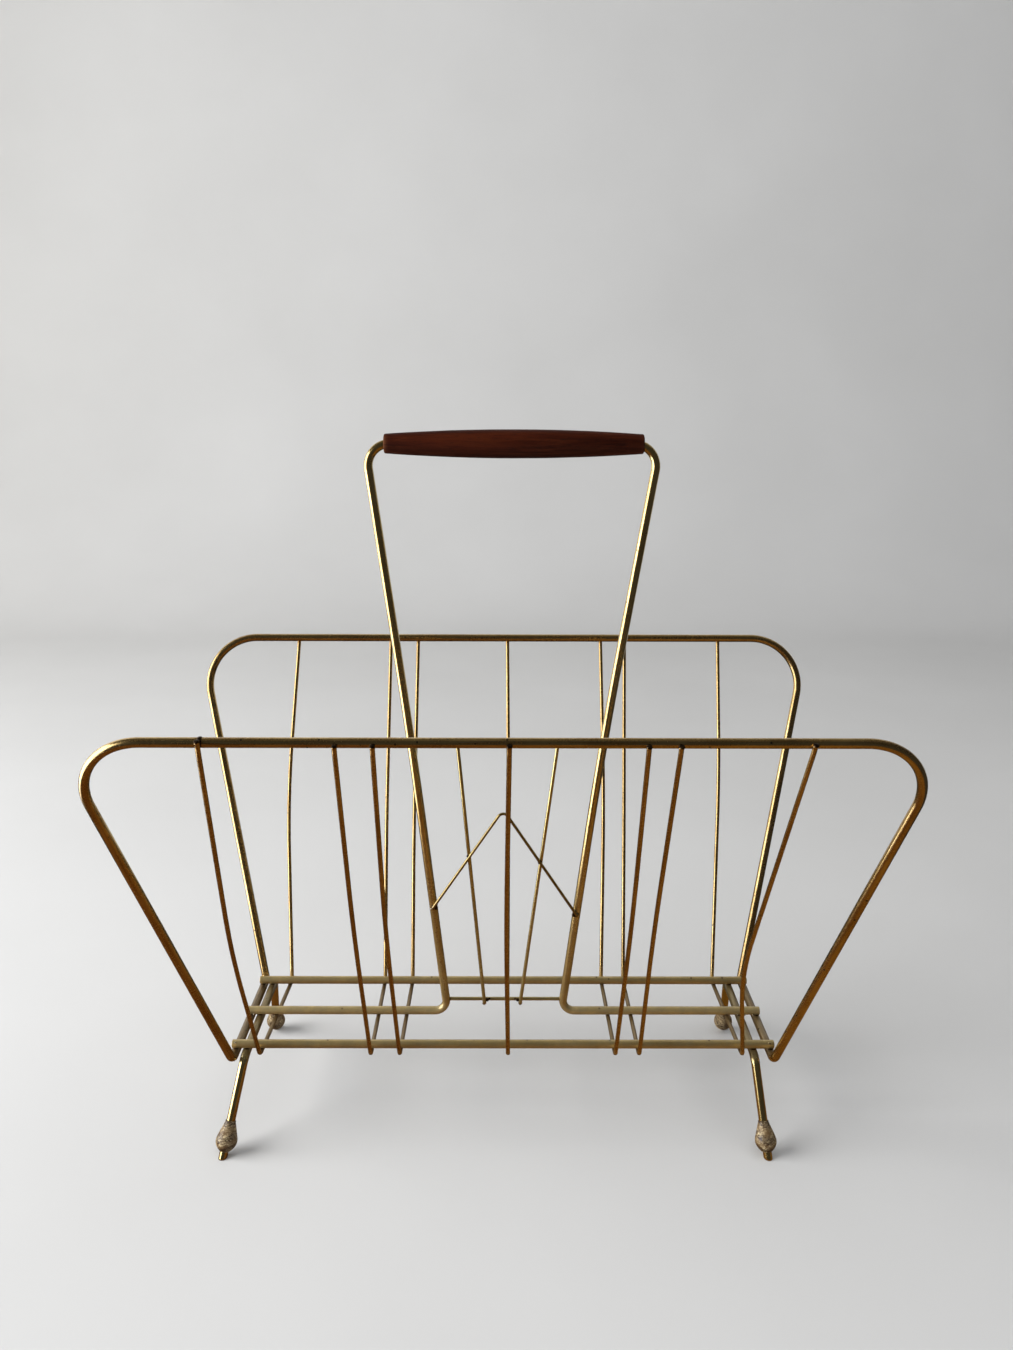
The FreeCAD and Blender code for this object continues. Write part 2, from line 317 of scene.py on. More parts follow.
def weld(group, c, n, u, size, reach):
    """A weld at c between rods stacked along n; u runs along one of them."""
    c, n, u = vec(c), unit(vec(n)), vec(u)
    u = unit(u - n * (u @ n))
    beads[group].append((c, n, u, size))
    WELDS.append((c, reach))


for y in (-RAIL_Y, 0.0, RAIL_Y):
    for x in (-FOOT_X, FOOT_X):
        weld("floor", (x, y, CZ), (0, 0, 1), (1, 0, 0), 1.9, 6.5)
    for end in ("left", "right"):
        t = (y + 40.0) / 80.0
        x = lerp(LEG_X["front_" + end], LEG_X["rear_" + end], t)
        weld("floor", (x, y, CZ), (0, 0, 1), (1, 0, 0), 1.9, 6.5)
    for i in range(7):
        if y == 0.0 and i == 3:
            continue
        t = (y + WIRE_Y) / (2 * WIRE_Y)
        weld("floor", (lerp(WFF[i], WRF[i], t), y, CZ), (0, 0, 1), (1, 0, 0), 1.25, 4.2)
for i in range(7):
    for side, top, group in ((-1, WFT[i], "front_rail"), (1, WRT[i], "rear_rail")):
        a, c = vec(arm(side, top, ALEN)), vec((top, side * TOP_Y, TOP_Z))
        weld(group, c + (a - c) * (ROD - SINK / 2) / GAP, a - c, (1, 0, 0), 1.3, 4.6)
        # a dark cap of melted metal on the wire's own end
        over = OVER[i] if side < 0 else 0.5
        tip, below = vec(arm(side, top, ALEN + over + 0.30)), vec(arm(side, top, ALEN))
        beads[group].append((tip, unit(tip - below), vec((1, 0, 0)), 1.45))
        if side < 0 and i == 0:             # this one runs on round the rail
            n0, up = unit(a - c), vec((0, 0, 1))
            for k in range(5):
                d = unit(n0 * (1 - k / 4) + up * (k / 4) + vec((0.03 * k, 0, 0)))
                beads[group].append((c + d * (ROD - 0.05), d, vec((1, 0, 0)), 1.30 - 0.05 * k))
for z in BAR_Z:
    for s in (-1, 1):
        weld("divider", (leg_x(s, z) - s * (ROD - 0.15), BAR_Y * 0.6, z), (1, 0, 0), (0, 0, 1), 1.15, 3.2)
for k in (0, 1):
    for z in BAR_Z:
        x = lerp(UP_LOW[k], UP_HIGH[k], (z - UP_LOW_Z) / (UP_HIGH_Z - UP_LOW_Z))
        weld("divider", (x, UP_Y + DIV - SINK / 2, z), (0, 1, 0), (1, 0, 0), 0.95, 3.4)


def crossing(k):
    """Where the chevron meets an upright: x, z."""
    a, b = (CHEV_PTS[0], CHEV_PTS[1]) if k == 0 else (CHEV_PTS[1], CHEV_PTS[2])
    p, d = vec((a[0], a[2])), vec((b[0] - a[0], b[2] - a[2]))
    q = vec((UP_LOW[k], UP_LOW_Z))
    e = vec((UP_HIGH[k] - UP_LOW[k], UP_HIGH_Z - UP_LOW_Z))
    m = np.linalg.solve(np.array([d, -e]).T, q - p)
    return p + d * m[0]


CROSS = [crossing(0), crossing(1)]
for c in CROSS:
    weld("divider", (c[0], CHEV_Y + CHEV - SINK / 2, c[1]), (0, 1, 0), (1, 0, 0), 0.8, 2.6)
for p, s in ((CHEV_PTS[0], 1), (CHEV_PTS[2], -1)):
    weld("divider", (leg_x(-s, p[2]), -ROD + SINK / 2, p[2] + 0.5), (0, 1, 0), (1, 0, 0), 1.25, 3.6)

# Lumps left at the ends and crossings of the divider's wires
for k, s in ((0, 1), (1, -1)):
    x = UP_LOW[k]
    beads["divider"].append((vec((x + s * 1.7, UP_Y - 0.1, BAR_Z[0] + 0.5)), vec((0, 1, 0)), vec((1, 0, 0)), 1.15))
    beads["divider"].append((vec((x + s * 3.0, UP_Y + 0.5, BAR_Z[0] + 0.9)), vec((0, 1, 0)), vec((1, 0, 0)), 0.75))
    c = CROSS[k]
    beads["divider"].append((vec((c[0] - 0.6, CHEV_Y - 0.15, c[1] + 0.9)), vec((0, 1, 0)), vec((1, 0, 0)), 0.85 + 0.35 * k))
for p, s in ((CHEV_PTS[0], 1), (CHEV_PTS[2], -1)):
    beads["divider"].append((vec((p[0] + s * 1.6, CHEV_Y + 0.5, p[2] + 0.2)), vec((0, 1, 0)), vec((1, 0, 0)), 1.45))
    beads["divider"].append((vec((p[0] + s * 0.3, CHEV_Y - 0.1, p[2] + 0.1)), vec((0, 1, 0)), vec((1, 0, 0)), 0.95))

# =====================================================================
# The brass pieces
# =====================================================================
made = {}


def keep(obj, node, body="rack"):
    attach(obj, body)
    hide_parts(node)
    made[node] = obj


def hoop(side):
    y1, y2 = side * FOOT_Y, side * TOP_Y
    return [(-FOOT_X, 0, RUN_Z), (-FOOT_X, y1, RUN_Z), (-TOP_X, y2, TOP_Z),
            (TOP_X, y2, TOP_Z), (FOOT_X, y1, RUN_Z), (FOOT_X, 0, RUN_Z)]


for name, side in (("front_hoop", -1), ("rear_hoop", 1)):
    o = tube("brass_" + name, hoop(side), [5.5, 31.5, 31.5, 5.5], ROD, n=32, step=1.6,
             ends=("saw", "saw"), seed=side + 2)
    keep(o, name)

for name, side in (("front_floor_rail", -1), ("rear_floor_rail", 1)):
    o = tube("brass_" + name, [(-RAIL_X, side * RAIL_Y, FLOOR_Z), (RAIL_X, side * RAIL_Y, FLOOR_Z)], [], ROD,
             n=32, step=1.6, seed=side + 9)
    keep(o, name)

h = HANDLE
o = tube("brass_handle_rod", h, [7.0, gentle(*h[1:4]), 12.0, 12.0, gentle(*h[4:7]), 7.0], ROD, n=32, step=1.6, seed=21)
keep(o, "handle_rod")

for end in ("left", "right"):
    fx, fy = LEG_TIP["front_" + end]
    rx, ry = LEG_TIP["rear_" + end]
    o = tube("brass_leg_rod_" + end,
             [(fx, fy, 0), (LEG_X["front_" + end], -40.0, RUN_Z), (LEG_X["rear_" + end], 40.0, RUN_Z), (rx, ry, 0)],
             [7.0, 7.0], ROD, n=32, step=1.4, ends=("floor", "floor"), seed=31 if end == "left" else 37)
    keep(o, "leg_rod_" + end)

for i in range(7):
    p = wire_route(i)
    press = []
    for side, top in ((-1, WFT[i]), (1, WRT[i])):
        a, c = vec(arm(side, top, ALEN)), vec((top, side * TOP_Y, TOP_Z))
        out = unit(a - c)
        press.append((a + out * WIRE, out, 2.2, 0.32))
    o = tube("brass_string_wire_%d" % (i + 1), p, [gentle(*p[0:3]), 4.5, 4.5, gentle(*p[3:6])], WIRE,
             n=20, step=1.6, ends=("nub", "nub"), press=press, seed=41 + i)
    keep(o, "string_wire_%d" % (i + 1))

for name, z in (("divider_crossbar_lower", BAR_Z[0]), ("divider_crossbar_upper", BAR_Z[1])):
    o = tube("brass_" + name, [(leg_x(-1, z) + ROD - 0.7, BAR_Y, z), (leg_x(1, z) - ROD + 0.7, BAR_Y, z)], [], DIV,
             n=20, step=1.6, seed=int(z))
    keep(o, name)
for name, k in (("divider_upright_left", 0), ("divider_upright_right", 1)):
    o = tube("brass_" + name, [(UP_LOW[k], UP_Y, UP_LOW_Z), (UP_HIGH[k], UP_Y, UP_HIGH_Z)], [], DIV, n=20, step=1.6,
             ends=("nub", "nub"), seed=61 + k)
    keep(o, name)
o = tube("brass_divider_chevron", CHEV_PTS, [3.3], CHEV, n=18, step=1.2, ends=("shear", "shear"), seed=67)
keep(o, "divider_chevron")


# =====================================================================
# Weld metal squeezed out beside every crossing
# =====================================================================
def sphere_dirs(rows, cols):
    pts = [(0, 0, 1)]
    for i in range(1, rows):
        p = math.pi * i / rows
        for j in range(cols):
            q = 2 * math.pi * j / cols
            pts.append((math.sin(p) * math.cos(q), math.sin(p) * math.sin(q), math.cos(p)))
    pts.append((0, 0, -1))
    faces = []
    for j in range(cols):
        faces.append((0, 1 + j, 1 + (j + 1) % cols))
    for i in range(rows - 2):
        a0 = 1 + i * cols
        for j in range(cols):
            a, b = a0 + j, a0 + (j + 1) % cols
            faces.append((a, a + cols, b + cols, b))
    last, base = len(pts) - 1, 1 + (rows - 2) * cols
    for j in range(cols):
        faces.append((last, base + (j + 1) % cols, base + j))
    return np.array(pts, float), faces


DIRS, DFACES = sphere_dirs(10, 16)


def bead_cloud(name, items):
    co, faces = [], []
    base = 0
    for idx, (c, n, u, size) in enumerate(items):
        v = np.cross(n, u)
        off = Vector((idx * 3.1, size * 7.7, 2.2))
        lump = np.array([1 + 0.30 * noise.noise(Vector(d.tolist()) * 1.7 + off) + 0.10 * noise.noise(Vector(d.tolist()) * 4.3 + off)
                         for d in DIRS])
        d = DIRS * lump[:, None]
        flat = 0.46 * size
        co.append(c + np.outer(d[:, 0] * size, u) + np.outer(d[:, 1] * size, v) + np.outer(d[:, 2] * flat, n))
        faces += [tuple(i + base for i in f) for f in DFACES]
        base += len(DIRS)
    co = np.concatenate(co)
    o = build(name, co, faces, rod=co, cut=np.zeros(len(co)))
    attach(o, "rack")
    return o


weld_objs = [
    bead_cloud("weld_beads_floor", beads["floor"]),
    bead_cloud("weld_beads_front_rail", beads["front_rail"]),
    bead_cloud("weld_beads_rear_rail", beads["rear_rail"]),
    bead_cloud("weld_beads_divider", beads["divider"]),
]

# Bright spatter and nuggets that stand beside some of the welds
spatter = []
for (x, y, z, s) in ((146.2, -2.35, 53.9, 0.62), (150.6, -2.3, 53.2, 0.55), (156.2, -2.3, 53.6, 0.66),
                     (157.2, -37.1, 56.6, 0.6), (-157.9, -36.9, 56.7, 0.55), (-155.4, -2.4, 53.5, 0.45)):
    spatter.append((vec((x, y, z)), vec((0, -0.6, 0.8)), vec((1, 0, 0)), s))
drops = bead_cloud("weld_spatter", spatter)
tips = []
for k in (0, 1):                       # bright rounded ends of the uprights
    tips.append((vec((UP_LOW[k], UP_Y - 0.15, UP_LOW_Z - 0.4)), vec((0, 1, 0)), vec((1, 0, 0)), 1.30))
tips.append((vec((CHEV_PTS[0][0] - 0.7, CHEV_Y - 0.2, CHEV_PTS[0][2] - 0.6)), vec((0, 1, 0)), vec((1, 0, 0)), 0.85))
tip_drops = bead_cloud("weld_tips_divider", tips)


# =====================================================================
# Turned pieces
# =====================================================================
def lathe(name, profile, origin, axis, cols, closed, bump, **kw):
    """profile: (distance along the axis, radius) from one mouth of the bore round the outside to the other and back."""
    axis = unit(vec(axis))
    ref = vec((0, 0, 1)) if abs(axis[2]) < 0.9 else vec((0, 1, 0))
    x = unit(ref - axis * (ref @ axis))
    y = np.cross(axis, x)
    co, mk, wear = [], [], []
    n = cols
    for s, r, is_out in profile:
        for j in range(n):
            a = 2 * math.pi * j / n
            d = math.cos(a) * x + math.sin(a) * y
            rr = r + (bump(s, a, r) if is_out else 0)
            co.append(vec(origin) + axis * s + d * rr)
            mk.append((math.cos(a) * rr, math.sin(a) * rr, s))
            wear.append(kw["edge"](s, a) if is_out else 0.0)
    R = len(profile)
    faces = []
    for i in range(R):
        i2 = (i + 1) % R
        if i2 == 0 and not closed:
            break
        for j in range(n):
            faces.append((i * n + j, i * n + (j + 1) % n, i2 * n + (j + 1) % n, i2 * n + j))
    me_co = np.array(co)
    o = build(name, me_co, faces, rod=np.array(mk), cut=np.array(wear))
    # the outside must face outwards
    me = o.data
    me.update()
    import bmesh
    bm = bmesh.new()
    bm.from_mesh(me)
    bmesh.ops.recalc_face_normals(bm, faces=bm.faces)
    bm.to_mesh(me)
    bm.free()
    me.update()
    return o


# Grip
GX0, GX1, GZ = -65.1, 75.7, 400.2
L = GX1 - GX0
chord, sag = L / 2 - 0.9, 7.75 - 5.35
big = (chord ** 2 + sag ** 2) / (2 * sag)
prof = []
for k in range(5):                           # left mouth of the bore
    prof.append((9.0 - 9.0 * k / 4, 2.6 + (3.95 - 2.6) * k / 4, False))
prof.append((0.0, 4.2, True))
for k in range(7):                           # rounded left edge
    a = math.pi / 2 * k / 6
    prof.append((0.9 - 0.9 * math.cos(a), 4.45 + 0.9 * math.sin(a), True))
for k in range(1, 200):
    s = 0.9 + (L - 1.8) * k / 200
    prof.append((s, 7.75 - big + math.sqrt(big ** 2 - (s - L / 2) ** 2), True))
for k in range(7):
    a = math.pi / 2 * k / 6
    prof.append((L - 0.9 + 0.9 * math.sin(a), 4.45 + 0.9 * math.cos(a), True))
prof.append((L, 4.2, True))
for k in range(5):
    prof.append((L - 9.0 * k / 4, 3.95 - (3.95 - 2.6) * k / 4, False))
for k in range(1, 12):
    prof.append((L - 9.0 - (L - 18.0) * k / 12, 2.6, False))


def grip_bump(s, a, r):
    lines = 0.012 * math.sin(s * 5.3 + 0.8 * math.sin(a))
    slow = 0.05 * noise.noise(Vector((s * 0.06, math.cos(a) * 0.5, math.sin(a) * 0.5)))
    dent = 0.0
    for (ds, da, dr, dd) in ((3.2, 3.9, 2.4, 0.32), (31.0, 4.6, 1.6, 0.14), (97.0, 4.2, 1.9, 0.12), (121.0, 4.9, 1.3, 0.1), (1.4, 4.7, 1.5, 0.3)):
        w = (a - da) * r
        dent -= dd * math.exp(-((s - ds) ** 2 + w * w) / dr ** 2)
    return lines + slow + dent - 0.06


def grip_wear_and_lit_end(s, a):
    e = min(s, L - s)
    # the ends are worn to bare wood, the left end four times as much as the right: wear, with painted light on the lit
    # left end
    w = math.exp(-(e / 1.6) ** 2) * (1.0 if s < L / 2 else 0.25) * (0.55 + 0.6 * noise.noise(Vector((math.cos(a) * 1.4, math.sin(a) * 1.4, s * 0.01))))
    for (ds, da, dr) in ((3.2, 3.9, 2.6), (31.0, 4.6, 1.8)):
        w = max(w, 0.8 * math.exp(-((s - ds) ** 2 + ((a - da) * 5) ** 2) / dr ** 2))
    return max(0.0, min(1.0, w))


grip = lathe("turned_grip", prof, (GX0, 0, GZ), (1, 0, 0), 72, True, grip_bump, edge=grip_wear_and_lit_end)
keep(grip, "grip", "grip")

# Feet
FOOT = [(3.6, 2.80), (4.1, 3.30), (5.3, 4.45), (6.9, 5.50), (8.7, 6.08), (10.4, 6.06), (12.4, 5.55), (15.1, 4.62),
        (17.8, 3.68), (19.6, 3.05), (20.0, 2.90)]


def catmull(table, per):
    pts = [vec(p) for p in table]
    out = []
    for i in range(len(pts) - 1):
        p0, p1 = pts[max(0, i - 1)], pts[i]
        p2, p3 = pts[i + 1], pts[min(len(pts) - 1, i + 2)]
        k = max(3, int(np.linalg.norm(p2 - p1) * per))
        for j in range(k):
            t = j / k
            out.append(0.5 * ((2 * p1) + (-p0 + p2) * t + (2 * p0 - 5 * p1 + 4 * p2 - p3) * t * t + (-p0 + 3 * p1 - 3 * p2 + p3) * t ** 3))
    out.append(pts[-1])
    return out


feet = []
for idx, corner in enumerate(("front_left", "front_right", "rear_left", "rear_right")):
    sy = -1 if corner.startswith("front") else 1
    tip = vec((*LEG_TIP[corner], 0))
    top = vec((LEG_X[corner], sy * 40.0, RUN_Z))
    prof = [(s, r, True) for s, r in catmull(FOOT, 4)]
    # a thin rolled rim where the bead ends on the rod
    prof = prof[:-1] + [(20.15, 3.06, True), (20.45, 3.02, True), (20.5, 2.8, True), (20.4, 2.56, False)]
    prof += [(12.0, 2.5, False), (3.65, 2.5, False)]
    seed = idx * 5.3

    def foot_bump(s, a, r, seed=seed):
        spiral = 0.004 * math.sin(s * 4.1 + a + 0.9 * noise.noise(Vector((math.cos(a) * 1.3 + seed, math.sin(a) * 1.3, s * 0.25))))
        slow = 0.09 * noise.noise(Vector((math.cos(a) * 0.9 + seed, math.sin(a) * 0.9, s * 0.22)))
        nick = -0.16 * max(0.0, noise.noise(Vector((math.cos(a) * 3.2, math.sin(a) * 3.2 + seed, s * 0.7))) - 0.35) * 2
        fade = max(0.0, min(1.0, (s - 3.9) / 1.2)) * max(0.0, min(1.0, (19.4 - s) / 1.0))
        return (spiral + slow + nick) * fade

    def foot_edge(s, a, seed=seed):
        return max(0.0, min(1.0, 0.5 + 0.9 * noise.noise(Vector((math.cos(a) * 1.1 + seed, math.sin(a) * 1.1, s * 0.16)))))

    f = lathe("turned_foot_" + corner, prof, tip, top - tip, 64, True, foot_bump, edge=foot_edge)
    keep(f, "foot_" + corner)
    feet.append(f)


# =====================================================================
# Materials
# =====================================================================
class Look:
    def __init__(self, name):
        self.mat = bpy.data.materials.new(name)
        self.mat.use_nodes = True
        self.nt = self.mat.node_tree
        self.nt.nodes.clear()
        out = self.nt.nodes.new("ShaderNodeOutputMaterial")
        self.bsdf = self.nt.nodes.new("ShaderNodeBsdfPrincipled")
        self.nt.links.new(self.bsdf.outputs[0], out.inputs[0])
        self.coords = self.nt.nodes.new("ShaderNodeTexCoord")

    def put(self, socket, value):
        s = self.bsdf.inputs[socket]
        if isinstance(value, bpy.types.NodeSocket):
            self.nt.links.new(value, s)
        else:
            s.default_value = value

    def _in(self, socket, value):
        if isinstance(value, bpy.types.NodeSocket):
            self.nt.links.new(value, socket)
        else:
            socket.default_value = value

    def attr(self, name, vector=False):
        n = self.nt.nodes.new("ShaderNodeAttribute")
        n.attribute_name = name
        return n.outputs["Vector" if vector else "Fac"]

    def times(self, v, xyz):
        n = self.nt.nodes.new("ShaderNodeVectorMath")
        n.operation = "MULTIPLY"
        self.nt.links.new(v, n.inputs[0])
        n.inputs[1].default_value = xyz
        return n.outputs[0]

    def noise(self, v, scale, detail=2.0, rough=0.5, twist=0.0):
        n = self.nt.nodes.new("ShaderNodeTexNoise")
        self.nt.links.new(v, n.inputs["Vector"])
        n.inputs["Scale"].default_value = scale
        n.inputs["Detail"].default_value = detail
        n.inputs["Roughness"].default_value = rough
        n.inputs["Distortion"].default_value = twist
        return n.outputs[0]

    def cells(self, v, scale, randomness=1.0):
        n = self.nt.nodes.new("ShaderNodeTexVoronoi")
        self.nt.links.new(v, n.inputs["Vector"])
        n.inputs["Scale"].default_value = scale
        n.inputs["Randomness"].default_value = randomness
        return n.outputs["Distance"], n.outputs["Color"]

    def ramp(self, fac, stops, ease="LINEAR"):
        n = self.nt.nodes.new("ShaderNodeValToRGB")
        self.nt.links.new(fac, n.inputs[0])
        n.color_ramp.interpolation = ease
        e = n.color_ramp.elements
        while len(e) < len(stops):
            e.new(0.5)
        for el, (pos, col) in zip(e, stops):
            el.position = pos
            c = col if isinstance(col, tuple) else (col, col, col)
            el.color = (*c, 1.0)
        return n.outputs[0]

    def math(self, op, a, b=0.0, c=None, clamp=False):
        n = self.nt.nodes.new("ShaderNodeMath")
        n.operation = op
        n.use_clamp = clamp
        self._in(n.inputs[0], a)
        self._in(n.inputs[1], b)
        if c is not None:
            self._in(n.inputs[2], c)
        return n.outputs[0]

    def steps(self, v, a, b):
        """0 at a, 1 at b, straight between."""
        n = self.nt.nodes.new("ShaderNodeMapRange")
        self._in(n.inputs["Value"], v)
        n.inputs["From Min"].default_value, n.inputs["From Max"].default_value = a, b
        return n.outputs[0]

    def mix(self, fac, a, b, kind="MIX"):
        n = self.nt.nodes.new("ShaderNodeMix")
        n.data_type = "RGBA"
        n.blend_type = kind
        self._in(n.inputs[0], fac)
        for sock, val in ((n.inputs[6], a), (n.inputs[7], b)):
            if isinstance(val, tuple):
                sock.default_value = (*val, 1.0)
            else:
                self.nt.links.new(val, sock)
        return n.outputs[2]

    def bump(self, height, distance, strength=1.0, after=None):
        n = self.nt.nodes.new("ShaderNodeBump")
        n.inputs["Strength"].default_value = strength
        n.inputs["Distance"].default_value = distance
        self.nt.links.new(height, n.inputs["Height"])
        if after is not None:
            self.nt.links.new(after, n.inputs["Normal"])
        return n.outputs[0]


def brass(name, age=0.30, dull=0.0, streaks=0.30, blotch=0.25, heat=0.75, pits=0.5, warm=1.0, grime=0.0, pale_low_dust_and_reflection=0.0):
    """Aged drawn brass: age sets how far its colour has gone brown, dull its roughness."""
    m = Look(name)
    rod = m.attr("rod", True)
    obj = m.coords.outputs["Object"]
    xyz = m.nt.nodes.new("ShaderNodeSeparateXYZ")
    m.nt.links.new(obj, xyz.inputs[0])
    z, y = xyz.outputs[2], m.math("ABSOLUTE", xyz.outputs[1])
    # the rails of the floor and the runs below them have lost their polish; the runs below the rails are also darkened,
    # a painted shade below the rails
    flat = m.math("MULTIPLY", m.steps(z, 0.0615, 0.0580), m.steps(y, 0.0440, 0.0400))
    flat = m.math("MULTIPLY", flat, m.steps(z, 0.0440, 0.0470))
    low = m.math("MULTIPLY", flat, m.steps(z, 0.0532, 0.0526))
    rail = m.math("SUBTRACT", flat, low, clamp=True)
    # the pale veil low down fades out upwards: partly dusty wear, partly a painted pale reflection on the handle's and
    # divider's low parts
    low_veil_dust_and_reflection = m.math("MULTIPLY", m.steps(z, 0.185, 0.060), pale_low_dust_and_reflection)
    low_veil_dust_and_reflection = m.math("MULTIPLY", low_veil_dust_and_reflection, m.steps(z, 0.050, 0.054))
    long_streak = m.noise(m.times(rod, (1, 1, 0.035)), 0.8, 4.0, 0.55, 0.6)
    draw_line = m.noise(m.times(rod, (1, 1, 0.010)), 4.5, 3.0, 0.6)
    patch = m.noise(obj, 34.0, 4.0, 0.55, 0.3)
    blot = m.noise(obj, 210.0, 4.0, 0.6, 0.5)
    speck = m.noise(obj, 900.0, 2.0, 0.5)
    near = m.attr("heat")
    cut = m.attr("cut")
    t = m.math("MULTIPLY_ADD", m.math("SUBTRACT", patch, 0.5), blotch * 2.2, age)
    t = m.math("MULTIPLY_ADD", m.math("SUBTRACT", long_streak, 0.5), streaks * 2.2, t)
    t = m.math("MULTIPLY_ADD", m.math("SUBTRACT", blot, 0.5), blotch * 1.2, t)
    # this tint is the welding tint near welds and the painted shade on the runs below the floor rails
    burn_and_shade = m.math("MULTIPLY", near, m.math("MULTIPLY_ADD", blot, 1.1, 0.35))
    t = m.math("MULTIPLY_ADD", burn_and_shade, heat, t)
    # the cut end faces are made lighter: fresh, less tarnished metal with a painted glint
    t = m.math("MULTIPLY_ADD", cut, -0.35, t)
    t = m.math("MULTIPLY_ADD", rail, -0.10, t)
    # painted shade: the runs below the floor rails are made browner
    t = m.math("MULTIPLY_ADD", low, 0.10, t, clamp=True)
    colour = m.ramp(t, [(0.0, (0.86, 0.66 * warm, 0.30 * warm)), (0.22, (0.70, 0.50 * warm, 0.19 * warm)),
                        (0.45, (0.46, 0.285 * warm, 0.085 * warm)), (0.68, (0.20, 0.105, 0.032)), (1.0, (0.035, 0.020, 0.011))])
    veil = m.ramp(m.noise(obj, 120.0, 5.0, 0.65), [(0.30, 0.25), (0.75, 1.0)])
    dust_and_reflection_veil = m.math("MULTIPLY_ADD", rail, 0.30, grime)
    dust_and_reflection_veil = m.math("MULTIPLY_ADD", low_veil_dust_and_reflection, 0.70, dust_and_reflection_veil)
    dust_and_reflection_veil = m.math("MULTIPLY_ADD", low, 0.25, dust_and_reflection_veil, clamp=True)
    # the pale veil: dusty wear, and a painted pale reflection low on the handle and divider
    colour = m.mix(m.math("MULTIPLY", veil, dust_and_reflection_veil), colour, m.ramp(veil, [(0.3, (0.34, 0.265, 0.135)), (0.9, (0.42, 0.335, 0.175))]))
    # painted shade: the runs below the floor rails are darkened towards a dark taupe
    colour = m.mix(m.math("MULTIPLY", low, 0.66), colour, (0.105, 0.078, 0.047))
    dist, rnd = m.cells(obj, 230.0)
    dots = m.math("MULTIPLY", m.ramp(dist, [(0.10, 1.0), (0.20, 0.0)]), m.ramp(rnd, [(0.62, 0.0), (0.66, 1.0)], "CONSTANT"))
    dots = m.math("MULTIPLY", dots, pits, clamp=True)
    colour = m.mix(dots, colour, (0.035, 0.022, 0.012))
    m.put("Base Color", colour)
    shine = m.math("MULTIPLY_ADD", rail, -0.13, 1.0)
    shine = m.math("MULTIPLY_ADD", low, -0.22, shine)
    shine = m.math("MULTIPLY_ADD", low_veil_dust_and_reflection, -0.16, shine)
    m.put("Metallic", shine)
    m.bsdf.inputs["Coat Weight"].default_value = 0.55      # old clear lacquer
    m.bsdf.inputs["Coat Roughness"].default_value = 0.10
    rough = m.math("MULTIPLY_ADD", t, 0.30, 0.11 + dull)
    rough = m.math("MULTIPLY_ADD", flat, 0.10, rough)
    rough = m.math("MULTIPLY_ADD", low_veil_dust_and_reflection, 0.12, rough)
    rough = m.math("MULTIPLY_ADD", m.math("SUBTRACT", draw_line, 0.5), 0.16, rough)
    rough = m.math("MULTIPLY_ADD", m.math("SUBTRACT", speck, 0.5), 0.10, rough)
    rough = m.math("MULTIPLY_ADD", dots, 0.3, rough, clamp=True)
    m.put("Roughness", rough)
    n = m.bump(draw_line, 0.00003, 0.55)
    n = m.bump(blot, 0.00006, 0.5, n)
    n = m.bump(dots, 0.00010, -0.7, n)
    m.put("Normal", n)
    return m.mat


def weld_metal(name, bright=False):
    m = Look(name)
    obj = m.coords.outputs["Object"]
    a = m.noise(obj, 600.0, 4.0, 0.6, 0.5)
    b = m.noise(obj, 2200.0, 3.0, 0.6)
    if bright:
        colour = m.ramp(a, [(0.3, (0.45, 0.33, 0.17)), (0.6, (0.85, 0.74, 0.52))])
    else:
        colour = m.ramp(a, [(0.30, (0.020, 0.012, 0.008)), (0.54, (0.060, 0.034, 0.016)), (0.76, (0.20, 0.120, 0.050))])
    m.put("Base Color", colour)
    m.put("Metallic", 1.0)
    m.put("Roughness", m.math("MULTIPLY_ADD", a, 0.3, 0.12 if bright else 0.24))
    n = m.bump(a, 0.00015, 0.6)
    n = m.bump(b, 0.00005, 0.5, n)
    m.put("Normal", n)
    return m.mat


def grip_wood():
    m = Look("grip_stained_wood")
    rod = m.attr("rod", True)
    edge = m.attr("cut")
    warp = m.noise(m.times(rod, (0.10, 0.10, 0.012)), 1.0, 3.0, 0.5)
    grain = m.noise(m.times(rod, (1.0, 1.0, 0.045)), 0.55, 6.0, 0.62, 1.2)
    pores = m.noise(m.times(rod, (1.0, 1.0, 0.06)), 3.4, 3.0, 0.55)
    fleck = m.ramp(pores, [(0.58, 0.0), (0.68, 1.0)])
    colour = m.ramp(grain, [(0.24, (0.022, 0.0036, 0.0012)), (0.46, (0.040, 0.0066, 0.0017)), (0.62, (0.054, 0.0105, 0.0024)), (0.80, (0.078, 0.018, 0.0050))])
    tone = m.ramp(warp, [(0.30, (0.55, 0.50, 0.48)), (0.70, (1.30, 1.25, 1.15))])
    colour = m.mix(1.0, colour, tone, "MULTIPLY")
    colour = m.mix(m.math("MULTIPLY", fleck, 0.75), colour, (0.010, 0.004, 0.0025))
    # bare wood at the worn ends and dents: wear, with painted light at the left end
    raw_and_lit_wood = m.ramp(grain, [(0.3, (0.085, 0.026, 0.009)), (0.7, (0.19, 0.074, 0.030))])
    colour = m.mix(m.math("MULTIPLY", edge, 0.80, clamp=True), colour, raw_and_lit_wood)
    m.put("Base Color", colour)
    rough = m.math("MULTIPLY_ADD", grain, 0.22, 0.42)
    rough = m.math("MULTIPLY_ADD", fleck, 0.20, rough)
    rough = m.math("MULTIPLY_ADD", edge, 0.25, rough, clamp=True)
    m.put("Roughness", rough)
    m.bsdf.inputs["Specular IOR Level"].default_value = 0.10
    n = m.bump(pores, 0.00006, 0.6)
    n = m.bump(grain, 0.00010, 0.35, n)
    m.put("Normal", n)
    return m.mat


